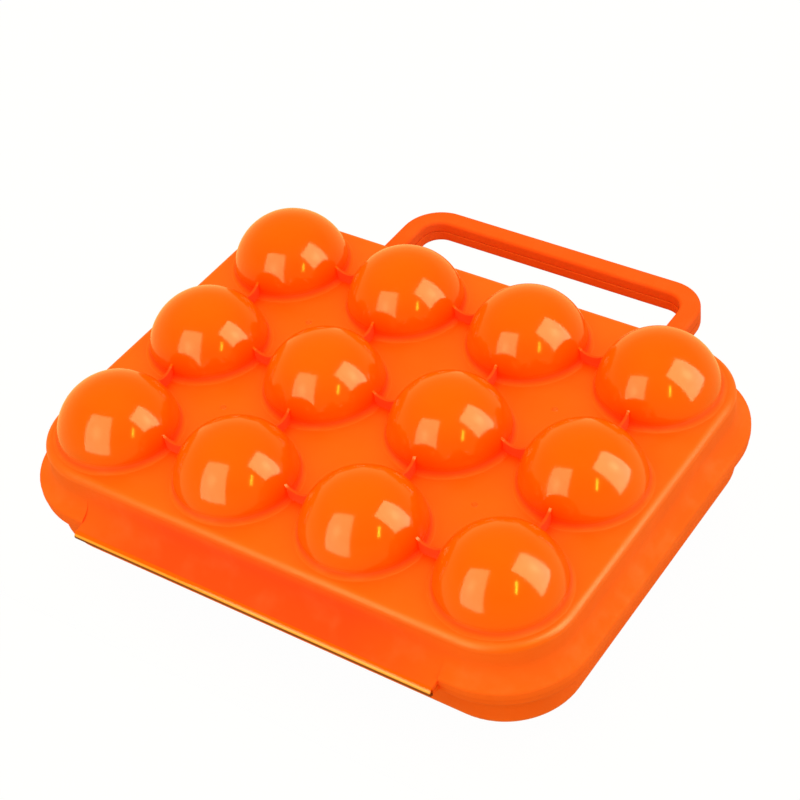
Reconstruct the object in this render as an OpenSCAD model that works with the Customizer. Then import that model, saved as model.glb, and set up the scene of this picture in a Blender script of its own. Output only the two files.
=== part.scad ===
// Egg storage box: a moulded tray with cups, a matching domed lid, a rolled
// living hinge along one long side and a two-layer carrying loop on the other.
// Millimetres. +X runs along the hinge, +Y from the hinge to the handle, +Z up.
// The origin is under the middle of the box's outline, on the surface it stands on.

/* [Cells] */
// Egg cells along the hinge
cols = 4; // [3:1:6]
// Egg cells from the hinge to the handle
rows = 3; // [2:1:4]
// Distance between the centres of neighbouring cells
pitch = 50; // [48:0.5:56]

/* [Lid domes] */
// Outside radius of a dome
dome_r = 21.2; // [18:0.1:21.6]
// How far a dome's centre lies under the lid's plate face
dome_sink = 1; // [0.5:0.1:3]

/* [Base cups] */
// Outside radius of a cup
cup_r = 18.8; // [17:0.1:20]
// How far a cup's centre lies behind the base's plate face
cup_sink = 4; // [2:0.1:6]
// Radius of the flat that a cup stands on
cup_foot_r = 4.5; // [3:0.1:7]

/* [Shells] */
// Thickness of the moulded wall
wall = 1.5; // [1.2:0.1:2]
// Depth of each shell, from its plate face to the parting plane
shell_h = 17.5; // [15:0.5:24]
// Flat border between the outer domes' feet and the rounded edge
foot_border = 0.2; // [0.2:0.1:6]
// Rounding of the plate's edge
rim_r = 2.5; // [2:0.1:4]
// Fillet round the foot of a dome or cup
foot_fillet_r = 1.8; // [1:0.1:2.2]
// Gap between the two shells at the parting plane
parting_gap = 0.3; // [0.2:0.05:0.5]

/* [Lip] */
// From the plate's edge to the edge of the lid's lip
lid_lip_out = 5; // [4:0.1:7]
// From the plate's edge to the edge of the base's lip
base_lip_out = 4.6; // [4:0.1:7]
// Rounding of the lip's shoulder
lip_r = 1.5; // [1:0.1:2]
// Height of the lip's upright side
lip_side_h = 2; // [1.5:0.1:4]
// Radius of the hollow sweep from the wall to the lip
cove_r = 7; // [5.5:0.1:9]

/* [Locating rib] */
// Thickness of the rib that centres the lid on the base
rib_t = 1.2; // [1:0.1:1.6]
// How far the rib stands above the parting plane
rib_rise = 1.5; // [0.8:0.1:1.8]
// Clearance between the rib and the inside of the lid's lip
rib_clear = 0.3; // [0.2:0.05:0.5]

/* [Hinge] */
// From each end of the straight front edge to the end of the hinge
hinge_inset = 5; // [2:0.5:20]
// From the plate's edge to the hinge's axis
hinge_out = 8; // [7:0.1:10]
// Outside radius of the hinge's roll
hinge_roll_r = 1.6; // [1.3:0.1:2]
// Thickness of the web that bends
web_t = 0.6; // [0.4:0.05:0.8]
// Thickness of each apron where it meets the web
apron_t = 0.8; // [0.7:0.05:1]
// From the hinge's axis to the edge of each apron
apron_setback = 0.15; // [0.1:0.05:0.3]

/* [Handle] */
// From the plate's side edge to the outer side of the carrying loop
loop_inset = 38.5; // [20:0.5:40]
// From the edge of the lid's lip to the outer side of the loop's bar
loop_reach = 37; // [30:0.5:50]
// Width of the loop's bar and legs
loop_bar_w = 7.5; // [6:0.1:10]
// Height of each of the two layers of the loop
loop_layer_h = 4.2; // [3.8:0.1:6]
// Outer radius of the loop's bends
loop_bend_r = 15; // [12:0.5:20]
// Rounding of the loop's outer edges
loop_edge_r = 1.3; // [0.8:0.1:1.8]
// How much wider the base's layer is on the inside
loop_step = 0.5; // [0.2:0.1:1]

/* [Press studs] */
// Diameter of the studs on the base's layer of the loop
stud_d = 3.6; // [3:0.1:4.4]
// Height of a stud above the parting plane
stud_h = 2.4; // [1.5:0.1:2.6]
// Clearance round and above a stud in its socket
stud_clear = 0.15; // [0.1:0.05:0.3]
// From the edge of the lid's lip to a stud's centre
stud_out = 9; // [6:0.5:14]

/* [Fins] */
// Thickness of the webs between neighbouring domes and cups
fin_t = 1; // [0.8:0.1:1.6]
// Height of a web at its middle, above the plate face
fin_h = 3.8; // [2:0.1:5]
// How much a web rises from its middle to its ends
fin_flare = 2; // [1:0.1:3]

/* [Gate marks] */
// Radius of the moulding gate marks' round heads
gate_r = 1.1; // [0.8:0.1:1.5]
// Height of a gate mark above the plate face
gate_h = 0.5; // [0.3:0.1:0.8]

/* [Hidden] */
$fn = 64;
orange = "#FF6604";
orange_deep = "#F25A08";

// Small overlap that fuses shapes of one moulding
fuse = 0.5;
half_gap = parting_gap / 2;

// Height of a dome's or cup's top above its plate face, with a flat of radius flat_r
function bump_rise(r, sink, flat_r) = sqrt(r * r - flat_r * flat_r) - sink;
// Distance from a dome's axis to the centre of its foot fillet
function foot_radius(r, sink) = sqrt(pow(r + foot_fillet_r, 2) - pow(foot_fillet_r + sink, 2));
// Height above the plate face at which the fillet touches the dome
function foot_touch(r, sink) = (foot_fillet_r + sink) * r / (r + foot_fillet_r) - sink;
// Height of the hollow sweep's centre, so that it runs smoothly into the lip's shoulder
function cove_z(out) = lip_side_h + sqrt(pow(cove_r + lip_r, 2) - pow(cove_r - out + lip_r, 2));
// Where the sweep touches the shoulder, out from the plate's edge
function cove_touch(out) = out - lip_r + (cove_r - out + lip_r) * lip_r / (cove_r + lip_r);

// The plate's corners run round the outer cells' centres
straight_x = (cols - 1) * pitch;
straight_y = (rows - 1) * pitch;
corner_r = max(foot_radius(dome_r, dome_sink), foot_radius(cup_r, cup_sink)) + foot_border + rim_r;
half_x = straight_x / 2 + corner_r;
half_y = straight_y / 2 + corner_r;
hinge_len = straight_x - 2 * hinge_inset;
stand_h = bump_rise(cup_r, cup_sink, cup_foot_r);
parting_z = stand_h + shell_h;
loop_half = half_x - loop_inset;
loop_y = half_y + lid_lip_out + loop_reach;
hinge_y = half_y + hinge_out;
middle_y = (loop_y - hinge_y - hinge_roll_r) / 2;
leg_x = loop_half - loop_bar_w / 2;
stud_y = half_y + lid_lip_out + stud_out;

// Puts a shape drawn about the parting plane into the box's own frame
module place() {
    translate([0, -middle_y, parting_z]) children();
}

// Flat outline of the plate, drawn in by a margin
module plan_outline(inset) {
    r = corner_r - inset;
    square([2 * (half_x - inset), straight_y], center = true);
    square([straight_x, 2 * (half_y - inset)], center = true);
    for (sx = [-1, 1], sy = [-1, 1])
        translate([sx * straight_x / 2, sy * straight_y / 2]) circle(r);
}

// Wall and rounded rim of one shell, in section: x is out from the plate's edge
module wall_section(inset, reach) {
    r = rim_r - inset;
    translate([-reach, half_gap]) square([reach - rim_r, shell_h - inset - half_gap]);
    translate([-reach, half_gap]) square([reach - inset, shell_h - rim_r - half_gap]);
    translate([-rim_r, shell_h - rim_r]) circle(r);
}

// Solid section of a shell with its lip
module lip_solid(out) {
    reach = rim_r + 2;
    wall_section(0, reach);
    difference() {
        translate([-rim_r, half_gap]) square([rim_r + cove_touch(out), cove_z(out) - half_gap]);
        translate([cove_r, cove_z(out)]) circle(cove_r);
    }
    translate([out - lip_r, lip_side_h]) circle(lip_r);
    translate([out - lip_r, half_gap]) square([lip_r, lip_side_h - half_gap]);
}

// Hollow of a shell with its lip
module lip_hollow(out) {
    reach = rim_r + 3;
    translate([0, -shell_h]) {
        translate([-reach, 0]) square([reach - rim_r, 2 * shell_h - wall]);
        translate([-reach, 0]) square([reach - wall, 2 * shell_h - rim_r]);
    }
    translate([-rim_r, shell_h - rim_r]) circle(rim_r - wall);
    difference() {
        translate([-rim_r, -shell_h]) square([rim_r + out - wall, shell_h + cove_z(out)]);
        translate([cove_r, cove_z(out)]) circle(cove_r + wall);
    }
}

// Section of a shell with its lip, one wall thick
module lip_section(out) {
    difference() {
        lip_solid(out);
        lip_hollow(out);
    }
}

// Solid section of a shell at the hinge, where the wall sweeps out to the roll
module apron_solid() {
    wall_section(0, rim_r + 2);
    difference() {
        translate([-rim_r, half_gap])
            square([rim_r + hinge_out - apron_setback, hinge_roll_r + hinge_out - half_gap]);
        translate([hinge_out, hinge_roll_r + hinge_out]) circle(hinge_out);
    }
}

// Hollow of a shell at the hinge
module apron_hollow() {
    reach = rim_r + 3;
    sweep_r = hinge_out + wall;
    sweep_z = hinge_roll_r - apron_t + sweep_r;
    translate([0, -shell_h]) {
        translate([-reach, 0]) square([reach - rim_r, 2 * shell_h - wall]);
        translate([-reach, 0]) square([reach - wall, 2 * shell_h - rim_r]);
    }
    translate([-rim_r, shell_h - rim_r]) circle(rim_r - wall);
    difference() {
        translate([-rim_r, -shell_h]) square([rim_r + hinge_out, shell_h + sweep_z]);
        translate([hinge_out, sweep_z]) circle(sweep_r);
    }
}

// Section of a shell at the hinge, one wall thick
module apron_section() {
    difference() {
        apron_solid();
        apron_hollow();
    }
}

// A section carried along one straight side, which faces the angle turn
module along(len, dist, turn, shift = 0) {
    rotate([0, 0, turn])
        translate([dist, shift, 0])
            rotate([90, 0, 0])
                linear_extrude(len, center = true) children();
}

// A section carried round one corner
module round_corner(sx, sy, turn) {
    translate([sx * straight_x / 2, sy * straight_y / 2, 0])
        rotate([0, 0, turn])
            rotate_extrude(angle = 90) translate([corner_r, 0]) children();
}

// Wall, rim and lip all the way round one shell, with the apron at the hinge
module shell_ring(out) {
    end_shift = straight_x / 2 - hinge_inset / 2;
    along(straight_y, half_x, 0) lip_section(out);
    along(straight_x, half_y, 90) lip_section(out);
    along(straight_y, half_x, 180) lip_section(out);
    for (s = [-1, 1]) along(hinge_inset, half_y, 270, s * end_shift) lip_section(out);
    along(hinge_len, half_y, 270) apron_section();
    for (s = [-1, 1])
        along(wall, half_y, 270, s * (hinge_len - wall) / 2)
            difference() {
                apron_solid();
                wall_section(wall, rim_r + 3);
            }
    round_corner(1, 1, 0) lip_section(out);
    round_corner(-1, 1, 90) lip_section(out);
    round_corner(-1, -1, 180) lip_section(out);
    round_corner(1, -1, 270) lip_section(out);
}

// One copy at each cell's centre, turned so that no seam lies under a web
module each_cell() {
    for (i = [0 : cols - 1], j = [0 : rows - 1])
        translate([(i - (cols - 1) / 2) * pitch, (j - (rows - 1) / 2) * pitch, 0])
            rotate([0, 0, 45]) children();
}

// Outside of a dome or cup with its foot fillet
module bump(r, sink, flat_r) {
    top = shell_h + bump_rise(r, sink, flat_r);
    foot = foot_radius(r, sink);
    low = shell_h - wall;
    rotate_extrude() {
        intersection() {
            translate([0, shell_h - sink]) circle(r);
            translate([0, low]) square([r, top - low]);
        }
        difference() {
            translate([0, low]) square([foot, wall + foot_touch(r, sink)]);
            translate([foot, shell_h + foot_fillet_r]) circle(foot_fillet_r);
        }
    }
}

// Inside of a dome or cup
module bump_hollow(r, sink, flat_r) {
    top = shell_h + bump_rise(r, sink, flat_r) - wall;
    low = shell_h - wall - fuse;
    rotate_extrude()
        intersection() {
            translate([0, shell_h - sink]) circle(r - wall);
            translate([0, low]) square([r, top - low]);
        }
}

// Web between two neighbours, with a hollow top edge that runs up their sides
module fin(r, sink) {
    end_z = fin_h + fin_flare;
    half_w = pitch / 2 - sqrt(r * r - pow(end_z + sink, 2));
    dip_r = (half_w * half_w + fin_flare * fin_flare) / (2 * fin_flare);
    low = shell_h - wall / 2;
    rotate([90, 0, 0])
        linear_extrude(fin_t, center = true)
            difference() {
                translate([-half_w - fuse, low])
                    square([2 * (half_w + fuse), shell_h + end_z + fuse - low]);
                translate([0, shell_h + fin_h + dip_r]) circle(dip_r);
            }
}

// Webs along and across the grid
module fins(r, sink) {
    for (i = [0 : cols - 2], j = [0 : rows - 1])
        translate([(i - (cols - 2) / 2) * pitch, (j - (rows - 1) / 2) * pitch, 0]) fin(r, sink);
    for (i = [0 : cols - 1], j = [0 : rows - 2])
        translate([(i - (cols - 1) / 2) * pitch, (j - (rows - 2) / 2) * pitch, 0])
            rotate([0, 0, 90]) fin(r, sink);
}

// Four low round marks where the moulding was fed
module gate_marks() {
    ball_r = (gate_r * gate_r + gate_h * gate_h) / (2 * gate_h);
    for (sx = [-1, 1], sy = [-1, 1])
        translate([sx * (cols / 2 - 1) * pitch, sy * (rows / 2 - 1) * pitch, shell_h])
            rotate_extrude()
                intersection() {
                    translate([0, gate_h - ball_r]) circle(ball_r);
                    translate([0, -wall / 2]) square([gate_r, gate_h + wall / 2]);
                }
}

// Section of one layer of the carrying loop: x runs from its outer to its inner side
module loop_section(w) {
    low = loop_layer_h - loop_edge_r;
    translate([0, half_gap]) square([w, low - half_gap]);
    translate([loop_edge_r, half_gap]) square([w - 2 * loop_edge_r, loop_layer_h - half_gap]);
    for (x = [loop_edge_r, w - loop_edge_r]) translate([x, low]) circle(loop_edge_r);
}

// One layer of the carrying loop, its legs run in through the lip
module carry_loop(w) {
    bend_x = loop_half - loop_bend_r;
    bend_y = loop_y - loop_bend_r;
    leg_y = half_y + cove_touch(lid_lip_out) - lip_r;
    leg_len = bend_y - leg_y;
    translate([0, loop_y - w, 0])
        rotate([90, 0, 90]) linear_extrude(2 * bend_x, center = true) loop_section(w);
    for (s = [0, 1])
        mirror([s, 0, 0]) {
            translate([bend_x, bend_y, 0])
                rotate_extrude(angle = 90) translate([loop_bend_r - w, 0]) loop_section(w);
            translate([loop_half - w, leg_y + leg_len / 2, 0])
                rotate([90, 0, 0]) linear_extrude(leg_len, center = true) loop_section(w);
        }
}

// Plate, walls, domes or cups, webs and loop layer of one shell, drawn plate up
module shell(out, r, sink, flat_r, loop_w) {
    difference() {
        union() {
            shell_ring(out);
            translate([0, 0, shell_h - wall]) linear_extrude(wall) plan_outline(rim_r + 1);
            each_cell() bump(r, sink, flat_r);
            fins(r, sink);
            gate_marks();
            difference() {
                carry_loop(loop_w);
                along(straight_x, half_y, 90) lip_hollow(out);
            }
        }
        each_cell() bump_hollow(r, sink, flat_r);
    }
}

// Upright rib inside the base's lip, round the sides and the handle end
module locating_rib() {
    outer = lid_lip_out - wall - rib_clear;
    along(straight_y, half_x, 0) rib_section(outer);
    along(straight_x, half_y, 90) rib_section(outer);
    along(straight_y, half_x, 180) rib_section(outer);
    round_corner(1, 1, 0) rib_section(outer);
    round_corner(-1, 1, 90) rib_section(outer);
}

// Section of the rib, drawn with the base's plate up, so the rib hangs down
module rib_section(outer) {
    foot_z = cove_z(base_lip_out) - sqrt(pow(cove_r + wall / 2, 2) - pow(cove_r - outer + rib_t, 2));
    translate([outer - rib_t, -rib_rise]) square([rib_t, rib_rise + foot_z]);
}

// Press studs on the base's layer of the loop, drawn with the base's plate up
module studs() {
    for (s = [-1, 1])
        translate([s * leg_x, stud_y, -stud_h]) cylinder(d = stud_d, h = stud_h + 1);
}

// Sockets for the studs in the lid's layer of the loop
module sockets() {
    for (s = [-1, 1])
        translate([s * leg_x, stud_y, -1])
            cylinder(d = stud_d + 2 * stud_clear, h = stud_h + stud_clear + 1);
}

// Tray with the cups that the eggs stand in
module base() {
    color(orange_deep) place() mirror([0, 0, 1]) {
        shell(base_lip_out, cup_r, cup_sink, cup_foot_r, loop_bar_w + loop_step);
        locating_rib();
        studs();
    }
}

// Lid with the domes that cover the eggs
module lid() {
    color(orange) place()
        difference() {
            shell(lid_lip_out, dome_r, dome_sink, 0, loop_bar_w);
            sockets();
        }
}

// Section of the web: a half roll with a short flat run at each end
module web_section(r) {
    circle(r);
    translate([-2 * apron_setback, -r]) square([2 * apron_setback, 2 * r]);
}

// Thin rolled web that joins the two aprons and bends as the lid opens
module hinge_web() {
    inner_r = hinge_roll_r - web_t;
    color(orange) place()
        along(hinge_len, hinge_y, 270)
            difference() {
                intersection() {
                    web_section(hinge_roll_r);
                    translate([-apron_setback, -hinge_roll_r])
                        square([apron_setback + hinge_roll_r, 2 * hinge_roll_r]);
                }
                web_section(inner_r);
            }
}

base();
lid();
hinge_web();
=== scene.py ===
"""Egg storage box in moulded polypropylene: its finishes, the hinge web and a plain white stage."""

import math

import bmesh
import bpy
from mathutils import Matrix, Vector


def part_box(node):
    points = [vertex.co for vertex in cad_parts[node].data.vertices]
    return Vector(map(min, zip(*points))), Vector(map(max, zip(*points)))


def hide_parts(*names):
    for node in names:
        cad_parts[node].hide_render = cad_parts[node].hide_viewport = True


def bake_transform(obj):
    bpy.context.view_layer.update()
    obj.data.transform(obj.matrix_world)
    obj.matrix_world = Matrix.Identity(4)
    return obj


bl_info = {
    "name": "Egg storage box",
    "version": (1, 0, 0),
    "blender": (4, 5, 0),
    "location": "3D View > Sidebar > Egg box",
    "description": "Finishes the moulded shells, makes the hinge web that bends and sets the stage",
    "category": "Object",
}

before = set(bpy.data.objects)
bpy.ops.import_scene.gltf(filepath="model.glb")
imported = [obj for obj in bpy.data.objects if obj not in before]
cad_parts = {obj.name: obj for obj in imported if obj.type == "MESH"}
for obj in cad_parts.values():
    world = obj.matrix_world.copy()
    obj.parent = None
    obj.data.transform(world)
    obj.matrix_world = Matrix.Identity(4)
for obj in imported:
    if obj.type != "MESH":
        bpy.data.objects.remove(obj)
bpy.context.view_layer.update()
WEB_LOW, WEB_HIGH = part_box("hinge_web")
BASE_LOW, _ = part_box("base")
_, LID_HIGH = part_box("lid")
HINGE_Z = (WEB_HIGH.z + WEB_LOW.z) / 2

# How far the domes stand above the lid's plate, and the cups below the base's plate
DOME_RISE, CUP_DROP = 0.0202, 0.0143
# The grid of domes and cups: from one to the next, and its middle along Y
PITCH, GRID_Y = 0.050, -0.0162
# Where the carrying loop leaves the lips
LOOP_Y = LID_HIGH.y - 0.0370

# Each shell's plate height, which way its domes or cups stand, and how far from their middles the polish reaches
LID_TOOL = (LID_HIGH.z - DOME_RISE, 1, 0.0214)
BASE_TOOL = (BASE_LOW.z + CUP_DROP, -1, 0.0190)
# Heights along the way that the domes stand, from the plate, and the finish of the tool at each
TOOL_FINISH = (
    (-0.0030, "grain"), (-0.0018, "satin"), (0.00005, "satin"), (0.00012, "grain"), (0.0013, "grain"),
    (0.0023, "polish"),
)
# The hinge's roll from its underside, 0, round its front to its top, 1: where each colour stands, the painted
# shadow underneath, the painted highlight on the crest and then the lid's colour
ROLL_COLOURS = (
    (0.55, "painted_shadow_colour"), (0.61, "painted_highlight_colour"), (0.71, "painted_highlight_colour"), (0.79, "lid_colour"),
)

# Rows of faces along the hinge
LENGTHWISE = 40

# Polypropylene's refraction, and the tint of its gloss, which takes on the orange of the skin just under the face
PP_IOR, SKIN_TINT = 1.49, (1.0, 0.93, 0.33, 1.0)
# How bright the pigment is where its clouds are thin
THIN_CLOUD = 0.93

# The floor's own glow, and the share of it that the camera sees and that the gloss mirrors
FLOOR_GLOW, SEEN_SHARE, MIRRORED_SHARE = 1.02, 0.96, 0.5
# How much brighter a softbox is where its lamp stands behind the cloth, and the colours of the cloth and the tube
LAMP_SPOT, CLOTH_HEX, TUBE_HEX = 1.5, "FAEFFF", "FFE060"

# The photograph's camera: where it aims, how far off it stands and how it is turned
AIM = Vector((0.0010, -0.00985, 0.04825))
CAMERA_FAR = 0.660
CAMERA_AZIMUTH, CAMERA_ELEVATION, CAMERA_ROLL = 38.57, 41.40, -7.70
LENS_MM, SENSOR_MM = 88.65, 36.0


def linear(text):
    """sRGB hex, such as FF6604, as a linear colour with alpha 1."""
    parts = [int(text[i : i + 2], 16) / 255 for i in (0, 2, 4)]
    return tuple(c / 12.92 if c <= 0.04045 else ((c + 0.055) / 1.055) ** 2.4 for c in parts) + (1.0,)


def add(tree, kind, links=(), inputs=None, **settings):
    """Adds a node, sets its attributes and the values of its inputs, and makes its links.
    A link is an input, the node that it comes from and that node's output."""
    made = tree.nodes.new(kind)
    for key, value in settings.items():
        setattr(made, key, value)
    for key, value in (inputs or {}).items():
        made.inputs[key].default_value = value
    for name, source, output in links:
        tree.links.new(source.outputs[output], made.inputs[name])
    return made


def set_ramp(node, stops):
    """Gives a colour ramp its stops, each a place and a linear colour."""
    elements = node.color_ramp.elements
    for step, (share, colour) in enumerate(stops):
        stop = elements[step] if step < len(elements) else elements.new(share)
        stop.position, stop.color = share, colour


def new_material(name):
    """An empty node material with its output node."""
    material = bpy.data.materials.new(name)
    material.use_nodes = True
    material.node_tree.nodes.clear()
    return material, material.node_tree, material.node_tree.nodes.new("ShaderNodeOutputMaterial")


def polypropylene_face(tree, out, place, colour, level, look):
    """What every face of the polypropylene has: painted shade, a darker colour that ambient occlusion lays in its
    folds and creases, handling haze, shrinkage waves, and the gloss of its tool. colour and level are each a node
    and its output; level is the tool's roughness."""
    # Painted shade: ambient occlusion mixes the painted shade colour into folds and creases, where shade falls
    fold = add(tree, "ShaderNodeAmbientOcclusion", inputs={"Distance": 0.016}, samples=6, only_local=True)
    folded = add(
        tree, "ShaderNodeMapRange", [("Value", fold, "AO")],
        inputs={"From Min": 0.25, "From Max": 0.75, "To Min": 1.0, "To Max": 0.0},
    )
    shade = add(
        tree, "ShaderNodeMix", [("Factor", folded, "Result"), ("A", *colour)], data_type="RGBA",
        inputs={"B": linear(look.painted_shade_colour)},
    )
    # Handling haze of about 12 mm varies the gloss a little
    haze = add(
        tree, "ShaderNodeTexNoise", [("Vector", place, "Object")],
        inputs={"Scale": 1 / 0.012, "Detail": 4.0, "Roughness": 0.6},
    )
    uneven = add(
        tree, "ShaderNodeMapRange", [("Value", haze, "Fac")],
        inputs={"From Min": 0.3, "From Max": 0.7, "To Min": 0.8, "To Max": 1.25},
    )
    gloss = add(tree, "ShaderNodeMath", [(0, uneven, "Result"), (1, *level)], operation="MULTIPLY")
    # Shrinkage waves of about 18 mm, a few hundredths of a millimetre deep
    waves = add(
        tree, "ShaderNodeTexNoise", [("Vector", place, "Object")],
        inputs={"Scale": 1 / 0.018, "Detail": 1.0, "Roughness": 0.4},
    )
    bump = add(
        tree, "ShaderNodeBump", [("Height", waves, "Fac")], inputs={"Strength": 0.5, "Distance": 0.00012}
    )
    shader = add(
        tree, "ShaderNodeBsdfPrincipled",
        [("Base Color", shade, "Result"), ("Roughness", gloss, "Value"), ("Normal", bump, "Normal")],
        inputs={"IOR": PP_IOR, "Specular Tint": SKIN_TINT},
    )
    tree.links.new(shader.outputs["BSDF"], out.inputs["Surface"])


def moulded_polypropylene(name, look, body_hex, tool, apron):
    """Polypropylene, injection moulded in a tool whose domes are polished, whose plates are satin and whose walls,
    webs and fillets are left finer than matt. That gives sharp window-like reflections on the domes, a broad soft
    sheen on the plates and almost none on the walls, faint cloudiness where the melt flowed, and a barely wavy
    face where the wall shrank as it cooled.
    tool is LID_TOOL or BASE_TOOL. apron says whether this shell shows the wall over the hinge, which is then
    darkened as painted shade; the webs between the domes are darkened as painted shade on every shell."""
    plate_z, way, polish_r = tool
    material, tree, out = new_material(name)
    place = add(tree, "ShaderNodeTexCoord")
    parts = add(tree, "ShaderNodeSeparateXYZ", [("Vector", place, "Object")])
    # The colour painted as shade on the webs and on the wall over the hinge
    painted_shade = linear(look.painted_shade_colour)

    # Pigment clouds of about 30 mm, drawn out along the flow
    body = linear(body_hex)
    thin = tuple(THIN_CLOUD * c for c in body[:3]) + (1.0,)
    flow = add(tree, "ShaderNodeMapping", [("Vector", place, "Object")], inputs={"Scale": (0.7, 1.3, 1.0)})
    clouds = add(
        tree, "ShaderNodeTexNoise", [("Vector", flow, "Vector")],
        inputs={"Scale": 1 / 0.030, "Detail": 3.0, "Roughness": 0.5, "Distortion": 0.4},
    )
    tone = add(
        tree, "ShaderNodeMapRange", [("Value", clouds, "Fac")], inputs={"From Min": 0.35, "From Max": 0.65}
    )
    colour = add(
        tree, "ShaderNodeMix", [("Factor", tone, "Result")], data_type="RGBA", inputs={"A": thin, "B": body}
    )

    # The tool's finish by height
    low, high = TOOL_FINISH[0][0], TOOL_FINISH[-1][0]
    along = add(
        tree, "ShaderNodeMapRange", [("Value", parts, "Z")],
        inputs={"From Min": plate_z + way * low, "From Max": plate_z + way * high},
    )
    finish = add(tree, "ShaderNodeValToRGB", [("Fac", along, "Result")])
    roughs = [(height, getattr(look, kind)) for height, kind in TOOL_FINISH]
    set_ramp(finish, [((height - low) / (high - low), (rough,) * 3 + (1.0,)) for height, rough in roughs])

    # The webs between the domes are as fine as the walls: what is past the nearest dome and stands on the plate
    cell = add(
        tree, "ShaderNodeVectorMath", [(0, place, "Object")], operation="WRAP",
        inputs={1: (PITCH, GRID_Y + PITCH / 2, 1.0), 2: (0.0, GRID_Y - PITCH / 2, -1.0)},
    )
    flat = add(
        tree, "ShaderNodeVectorMath", [(0, cell, "Vector")], operation="MULTIPLY", inputs={1: (1.0, 1.0, 0.0)}
    )
    from_dome = add(
        tree, "ShaderNodeVectorMath", [(0, flat, "Vector")], operation="DISTANCE",
        inputs={1: (PITCH / 2, GRID_Y, 0.0)},
    )
    past = add(
        tree, "ShaderNodeMapRange", [("Value", from_dome, "Value")],
        inputs={"From Min": polish_r - 0.0008, "From Max": polish_r, "To Max": look.grain},
    )
    above = add(
        tree, "ShaderNodeMapRange", [("Value", parts, "Z")],
        inputs={"From Min": plate_z + way * 0.0001, "From Max": plate_z + way * 0.0013},
    )
    web = add(tree, "ShaderNodeMath", [(0, past, "Result"), (1, above, "Result")], operation="MULTIPLY")
    level = add(tree, "ShaderNodeMath", [(0, finish, "Color"), (1, web, "Value")], operation="MAXIMUM")

    # The carrying loop is thick all through, so that it is a shade deeper than the shell
    loop = add(
        tree, "ShaderNodeMapRange", [("Value", parts, "Y")],
        inputs={"From Min": LOOP_Y, "From Max": LOOP_Y + 0.004},
    )
    # Painted shade: the webs between the domes take the painted shade colour, for the shade that falls between the
    # domes
    tints = [((loop, "Result"), linear(look.loop_colour)), ((web, "Value"), painted_shade)]
    if apron:
        # Painted shade: the wall over the hinge is darkened with the painted shade colour too, for the shade that
        # falls on it
        wall = add(
            tree, "ShaderNodeMapRange", [("Value", parts, "Z")],
            inputs={"From Min": plate_z - 0.001, "From Max": plate_z - 0.006},
        )
        front = add(
            tree, "ShaderNodeMapRange", [("Value", parts, "Y")],
            inputs={"From Min": WEB_LOW.y + 0.020, "From Max": WEB_LOW.y + 0.014},
        )
        aside = add(tree, "ShaderNodeMath", [(0, parts, "X")], operation="ABSOLUTE")
        over = add(
            tree, "ShaderNodeMapRange", [("Value", aside, "Value")],
            inputs={"From Min": WEB_HIGH.x + 0.004, "From Max": WEB_HIGH.x - 0.034},
        )
        there = add(tree, "ShaderNodeMath", [(0, front, "Result"), (1, over, "Result")], operation="MULTIPLY")
        share = add(tree, "ShaderNodeMath", [(0, wall, "Result"), (1, there, "Value")], operation="MULTIPLY")
        tints.insert(0, ((share, "Value"), painted_shade))
    for share, tint in tints:
        colour = add(
            tree, "ShaderNodeMix", [("Factor", *share), ("A", colour, "Result")], data_type="RGBA",
            inputs={"B": tint},
        )
    polypropylene_face(tree, out, place, (colour, "Result"), (level, "Value"), look)
    return material


def folded_polypropylene(name, look):
    """Polypropylene of the living hinge, folded while warm from the tool. Its crest carries a painted highlight, a
    pale band, and is sharp in gloss, and its underside is painted dark as the shadow under the roll, and is dull."""
    material, tree, out = new_material(name)
    place = add(tree, "ShaderNodeTexCoord")
    turn = add(tree, "ShaderNodeAttribute", attribute_name="turn")
    colour = add(tree, "ShaderNodeValToRGB", [("Fac", turn, "Fac")])
    set_ramp(colour, [(share, linear(getattr(look, kind))) for share, kind in ROLL_COLOURS])
    level = add(
        tree, "ShaderNodeMapRange", [("Value", turn, "Fac")],
        inputs={"From Min": 0.60, "From Max": 0.54, "To Min": look.fold_polish, "To Max": 1.0},
    )
    polypropylene_face(tree, out, place, (colour, "Color"), (level, "Result"), look)
    return material


def give(obj, material):
    """The object shows that one material."""
    obj.data.materials.clear()
    obj.data.materials.append(material)


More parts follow.
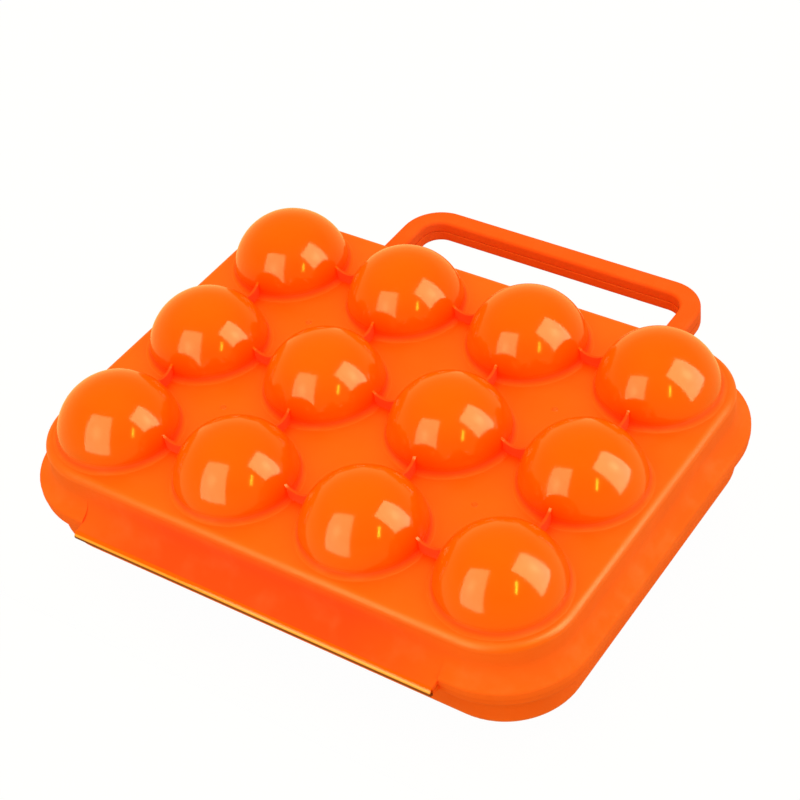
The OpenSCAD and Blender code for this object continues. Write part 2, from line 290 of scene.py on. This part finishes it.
class EggBoxFinish(bpy.types.PropertyGroup):
    """Colours and gloss of the moulding, and the colours painted as shade and highlight."""

    lid_colour: bpy.props.StringProperty(
        name="Lid colour", description="sRGB hex colour of the lid's plastic", default="FF6001"
    )
    base_colour: bpy.props.StringProperty(
        name="Base colour", description="sRGB hex colour of the base's plastic", default="FB5C01"
    )
    # Painted shade: this colour darkens the folds, the webs between the domes and the wall over the hinge
    painted_shade_colour: bpy.props.StringProperty(
        name="Painted shade colour", description="sRGB hex colour painted as shade in folds, webs and the wall over the hinge", default="FF4401"
    )
    loop_colour: bpy.props.StringProperty(
        name="Loop colour", description="sRGB hex colour of the carrying loop", default="F25001"
    )
    # Painted shadow: the dark colour under the hinge's roll
    painted_shadow_colour: bpy.props.StringProperty(
        name="Underside painted shadow", description="sRGB hex colour of the painted shadow under the hinge's roll", default="7E2E00"
    )
    # Painted highlight: the pale band along the hinge's crest
    painted_highlight_colour: bpy.props.StringProperty(
        name="Crest painted highlight", description="sRGB hex colour of the painted highlight on the hinge's crest",
        default="FFA552",
    )
    polish: bpy.props.FloatProperty(
        name="Polish", description="Roughness of the polished domes and cups", default=0.12, min=0.02, max=0.6
    )
    fold_polish: bpy.props.FloatProperty(
        name="Hinge polish", description="Roughness of the hinge's folded crest", default=0.06, min=0.02, max=0.6
    )
    satin: bpy.props.FloatProperty(
        name="Satin", description="Roughness of the plates and their rims", default=0.4, min=0.02, max=0.8
    )
    grain: bpy.props.FloatProperty(
        name="Grain", description="Roughness of the walls, the loop, the webs and the domes' fillets",
        default=0.95, min=0.02, max=1.0,
    )


class EggBoxHinge(bpy.types.PropertyGroup):
    """Sizes of the living hinge's web."""

    web: bpy.props.FloatProperty(
        name="Web", description="Thickness of the web that bends", default=0.0006, min=0.0003, max=0.001,
        subtype="DISTANCE", unit="LENGTH", precision=5,
    )
    steps: bpy.props.IntProperty(
        name="Steps", description="Faces round the half roll", default=28, min=8, max=64
    )


class EggBoxStage(bpy.types.PropertyGroup):
    """Floor, lights and camera."""

    floor_colour: bpy.props.StringProperty(
        name="Floor colour", description="sRGB hex colour of the floor", default="C6C6C4"
    )
    floor_size: bpy.props.FloatProperty(
        name="Floor size", description="Side of the floor", default=8.0, min=1.0, max=40.0,
        subtype="DISTANCE", unit="LENGTH",
    )
    front_glow: bpy.props.FloatProperty(
        name="Front softbox", description="Brightness of the front softbox as the gloss mirrors it", default=5.0,
        min=0.0, max=50.0,
    )
    side_glow: bpy.props.FloatProperty(
        name="Side softbox", description="Brightness of the side softbox as the gloss mirrors it", default=7.0,
        min=0.0, max=50.0,
    )
    tube_glow: bpy.props.FloatProperty(
        name="Warm tube", description="Brightness of the warm tube as the gloss mirrors it", default=25.2,
        min=0.0, max=100.0,
    )
    room_colour: bpy.props.StringProperty(
        name="Room colour", description="sRGB hex colour of the warm room's soft light", default="FFF392"
    )
    overhead: bpy.props.FloatProperty(
        name="Overhead light", description="Strength of the soft light from straight above", default=1.7,
        min=0.0, max=4.0,
    )
    level_light: bpy.props.FloatProperty(
        name="Level light", description="Strength of the soft light from the horizon", default=0.7,
        min=0.0, max=4.0,
    )
    pale_walls: bpy.props.FloatProperty(
        name="Pale walls", description="Brightness of the studio's low walls as the gloss mirrors them",
        default=0.8, min=0.0, max=4.0,
    )
    dim_ceiling: bpy.props.FloatProperty(
        name="Dim ceiling", description="Brightness of the studio's ceiling as the gloss mirrors it", default=0.5,
        min=0.0, max=4.0,
    )


class EGGBOX_OT_shells(bpy.types.Operator):
    """Gives the lid and the base their moulded polypropylene and smooths their shading"""

    bl_idname = "eggbox.shells"
    bl_label = "Moulded shells"

    def execute(self, context):
        look = context.scene.eggbox_finish
        shells = (("lid", look.lid_colour, LID_TOOL), ("base", look.base_colour, BASE_TOOL))
        for node, body_hex, tool in shells:
            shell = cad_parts[node]
            name = node + " polypropylene, moulded gloss"
            give(shell, moulded_polypropylene(name, look, body_hex, tool, apron=node == "lid"))
            shell.data.shade_smooth()
            shell.data.set_sharp_from_angle(angle=math.radians(30))
        return {"FINISHED"}


class EGGBOX_OT_hinge(bpy.types.Operator):
    """Makes the half-rolled web of the living hinge"""

    bl_idname = "eggbox.hinge"
    bl_label = "Living hinge web"

    def execute(self, context):
        hinge = context.scene.eggbox_hinge
        outer = (WEB_HIGH.z - WEB_LOW.z) / 2
        axis_y = WEB_LOW.y + outer
        run = WEB_HIGH.y - axis_y
        turns = [math.pi * k / hinge.steps for k in range(hinge.steps + 1)]
        # The section: a half roll with a flat run to each shell, outside and back along the inside
        outside, inside = (
            [(run, -r)] + [(-math.sin(t) * r, -math.cos(t) * r) for t in turns] + [(run, r)]
            for r in (outer, outer - hinge.web)
        )
        ring = outside + inside[::-1]
        bm = bmesh.new()
        rows = []
        for i in range(LENGTHWISE + 1):
            x = WEB_LOW.x + (WEB_HIGH.x - WEB_LOW.x) * i / LENGTHWISE
            rows.append([bm.verts.new((x, axis_y + y, HINGE_Z + z)) for y, z in ring])
        count = len(rows[0])
        for near, far in zip(rows, rows[1:]):
            for k in range(count):
                bm.faces.new((near[k], near[(k + 1) % count], far[(k + 1) % count], far[k]))
        half = count // 2
        for row in (rows[0], rows[-1]):
            for k in range(half - 1):
                bm.faces.new((row[k], row[k + 1], row[count - 2 - k], row[count - 1 - k]))
        bmesh.ops.recalc_face_normals(bm, faces=bm.faces)
        mesh = bpy.data.meshes.new("hinge_strip")
        bm.to_mesh(mesh)
        bm.free()
        mesh.shade_smooth()
        mesh.set_sharp_from_angle(angle=math.radians(40))
        shares = mesh.attributes.new("turn", "FLOAT", "POINT")
        for vert, share in zip(mesh.vertices, shares.data):
            share.value = abs(math.atan2(axis_y - vert.co.y, HINGE_Z - vert.co.z)) / math.pi
        strip = bpy.data.objects.new("hinge_strip", mesh)
        context.scene.collection.objects.link(strip)
        give(strip, folded_polypropylene("hinge polypropylene, flexed gloss", context.scene.eggbox_finish))
        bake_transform(strip)
        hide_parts("hinge_web")
        return {"FINISHED"}


def softbox(context, name, at, across, behind, wide, high, glow, cloth_hex):
    """One rectangular softbox, which the gloss mirrors. across is the direction of its width, and behind points
    away from what it faces. Its lamp shows as a brighter spot in the middle of the cloth."""
    data = bpy.data.lights.new(name, "AREA")
    data.shape, data.size, data.size_y = "RECTANGLE", wide, high
    # At this power the emission's strength is the brightness of the cloth
    data.energy = math.pi * wide * high
    data.use_nodes = True
    tree = data.node_tree
    tree.nodes.clear()
    place = add(tree, "ShaderNodeTexCoord")
    apart = add(
        tree, "ShaderNodeVectorMath", [(0, place, "UV")], operation="DISTANCE", inputs={1: (0.5, 0.5, 0.0)}
    )
    spot = add(
        tree, "ShaderNodeMapRange", [("Value", apart, "Value")], interpolation_type="SMOOTHSTEP",
        inputs={"From Min": 0.0, "From Max": 0.25, "To Min": glow * LAMP_SPOT, "To Max": glow},
    )
    cloth = add(tree, "ShaderNodeEmission", [("Strength", spot, "Result")], inputs={"Color": linear(cloth_hex)})
    add(tree, "ShaderNodeOutputLight", [("Surface", cloth, "Emission")])
    lamp = bpy.data.objects.new(name, data)
    context.scene.collection.objects.link(lamp)
    z = Vector(behind).normalized()
    y = z.cross(Vector(across)).normalized()
    lamp.matrix_world = Matrix.Translation(at) @ Matrix((y.cross(z), y, z)).transposed().to_4x4()
    lamp.visible_diffuse = False


class EGGBOX_OT_stage(bpy.types.Operator):
    """Sets the white floor, the softboxes, the even fill and the camera"""

    bl_idname = "eggbox.stage"
    bl_label = "Stage"

    def execute(self, context):
        stage = context.scene.eggbox_stage
        scene = context.scene
        scene.view_settings.view_transform = "Standard"
        mesh = bpy.data.meshes.new("floor")
        half = stage.floor_size / 2
        # It steps down in front of the hinge, because the opened lid's domes reach lower than the cups
        edge, drop = WEB_LOW.y - 0.008, LID_HIGH.z - 2 * HINGE_Z + 0.0005
        profile = ((half, 0), (edge, 0), (edge - 0.001, -drop), (-half, -drop))
        mesh.from_pydata(
            [(x, y, z) for y, z in profile for x in (half, -half)], [],
            [(k, k + 1, k + 3, k + 2) for k in (0, 2, 4)],
        )
        floor = bpy.data.objects.new("floor", mesh)
        scene.collection.objects.link(floor)
        # Matt painted board: an even white that keeps a soft shadow. Its own glow shows to the camera and, by
        # half, to the gloss, and the light on the object comes from its paint alone
        material, tree, out = new_material("white board, matt painted")
        path = add(tree, "ShaderNodeLightPath")
        mirrored = add(
            tree, "ShaderNodeMath", [(0, path, "Is Glossy Ray"), (1, path, "Is Transmission Ray")],
            operation="MAXIMUM",
        )
        dimmer = add(
            tree, "ShaderNodeMath", [(0, mirrored, "Value")], operation="MULTIPLY", inputs={1: MIRRORED_SHARE}
        )
        clear = add(
            tree, "ShaderNodeMath", [(0, path, "Is Camera Ray")], operation="MULTIPLY", inputs={1: SEEN_SHARE}
        )
        share = add(tree, "ShaderNodeMath", [(0, clear, "Value"), (1, dimmer, "Value")], operation="MAXIMUM")
        tint = add(
            tree, "ShaderNodeMix", [("Factor", mirrored, "Value")], data_type="RGBA",
            inputs={"A": (1, 1, 1, 1), "B": linear(stage.room_colour)},
        )
        paint = add(tree, "ShaderNodeBsdfDiffuse", inputs={"Color": linear(stage.floor_colour)})
        glow = add(tree, "ShaderNodeEmission", [("Color", tint, "Result")], inputs={"Strength": FLOOR_GLOW})
        both = add(
            tree, "ShaderNodeMixShader", [(0, share, "Value"), (1, paint, "BSDF"), (2, glow, "Emission")]
        )
        tree.links.new(both.outputs["Shader"], out.inputs["Surface"])
        give(floor, material)

        world = bpy.data.worlds.new("white studio")
        world.use_nodes = True
        scene.world = world
        tree = world.node_tree
        tree.nodes.clear()
        out = add(tree, "ShaderNodeOutputWorld")
        path = add(tree, "ShaderNodeLightPath")
        way = add(tree, "ShaderNodeTexCoord")
        up = add(tree, "ShaderNodeSeparateXYZ", [("Vector", way, "Generated")])
        # Soft light that is strongest from above
        soft = add(
            tree, "ShaderNodeMapRange", [("Value", up, "Z")],
            inputs={"From Min": 0.0, "From Max": 1.0, "To Min": stage.level_light, "To Max": stage.overhead},
        )
        # What the gloss mirrors: pale walls below, and a dim ceiling above about 30 degrees
        wall = add(
            tree, "ShaderNodeMapRange", [("Value", up, "Z")], interpolation_type="SMOOTHSTEP",
            inputs={"From Min": 0.1, "From Max": 0.5, "To Min": stage.pale_walls, "To Max": stage.dim_ceiling},
        )
        level = add(
            tree, "ShaderNodeMix",
            [("Factor", path, "Is Glossy Ray"), ("A", soft, "Result"), ("B", wall, "Result")],
        )
        even = add(
            tree, "ShaderNodeBackground", [("Strength", level, "Result")],
            inputs={"Color": linear(stage.room_colour)},
        )
        white = add(tree, "ShaderNodeBackground", inputs={"Color": (1, 1, 1, 1), "Strength": 1.0})
        both = add(
            tree, "ShaderNodeMixShader",
            [(0, path, "Is Camera Ray"), (1, even, "Background"), (2, white, "Background")],
        )
        tree.links.new(both.outputs["Shader"], out.inputs["Surface"])

        # Their places, sizes and turns come from the reflections on each dome
        to_side = (0.888, -0.016, 0.459)
        for row in (
            ("front softbox", (-0.110, -0.427, 0.299), (0.981, 0.188, 0.039), (0.150, -0.879, 0.452),
             0.383, 0.567, stage.front_glow, CLOTH_HEX),
            ("side softbox", (0.417, 0.140, 0.345), (0.454, 0.176, -0.873), to_side,
             0.558, 0.396, stage.side_glow, CLOTH_HEX),
            ("warm tube", (0.412, -0.215, 0.342), (0.337, -0.662, -0.669), to_side,
             0.160, 0.030, stage.tube_glow, TUBE_HEX),
        ):
            softbox(context, *row)

        az, el, roll = (math.radians(a) for a in (CAMERA_AZIMUTH, CAMERA_ELEVATION, CAMERA_ROLL))
        back = Vector((math.sin(az) * math.cos(el), -math.cos(az) * math.cos(el), math.sin(el)))
        right = Vector((math.cos(az), math.sin(az), 0))
        above = back.cross(right)
        turned = math.cos(roll) * right + math.sin(roll) * above
        upward = back.cross(turned)
        data = bpy.data.cameras.new("camera")
        data.lens, data.sensor_width = LENS_MM, SENSOR_MM
        data.clip_start, data.clip_end = 0.01, 50
        camera = bpy.data.objects.new("camera", data)
        scene.collection.objects.link(camera)
        axes = Matrix((turned, upward, back)).transposed().to_4x4()
        camera.matrix_world = Matrix.Translation(AIM + back * CAMERA_FAR) @ axes
        scene.camera = camera
        return {"FINISHED"}


class EGGBOX_PT_panel(bpy.types.Panel):
    """The egg box's sizes, colours and steps."""

    bl_idname = "EGGBOX_PT_panel"
    bl_label = "Egg box"
    bl_space_type = "VIEW_3D"
    bl_region_type = "UI"
    bl_category = "Egg box"

    def draw(self, context):
        for group in ("eggbox_finish", "eggbox_hinge", "eggbox_stage"):
            box = self.layout.box()
            values = getattr(context.scene, group)
            for name in values.__annotations__:
                box.prop(values, name)
        for operator in (EGGBOX_OT_shells, EGGBOX_OT_hinge, EGGBOX_OT_stage):
            self.layout.operator(operator.bl_idname)


CLASSES = (
    EggBoxFinish, EggBoxHinge, EggBoxStage,
    EGGBOX_OT_shells, EGGBOX_OT_hinge, EGGBOX_OT_stage,
    EGGBOX_PT_panel,
)


def register():
    """Registers the classes and hangs the three groups of values on the scene."""
    for cls in CLASSES:
        bpy.utils.register_class(cls)
    bpy.types.Scene.eggbox_finish = bpy.props.PointerProperty(type=EggBoxFinish)
    bpy.types.Scene.eggbox_hinge = bpy.props.PointerProperty(type=EggBoxHinge)
    bpy.types.Scene.eggbox_stage = bpy.props.PointerProperty(type=EggBoxStage)


def unregister():
    """Takes the groups of values and the classes away again."""
    for name in ("eggbox_stage", "eggbox_hinge", "eggbox_finish"):
        delattr(bpy.types.Scene, name)
    for cls in reversed(CLASSES):
        bpy.utils.unregister_class(cls)


def main():
    register()
    bpy.ops.eggbox.shells()
    bpy.ops.eggbox.hinge()
    bpy.ops.eggbox.stage()


if __name__ == "__main__":
    main()
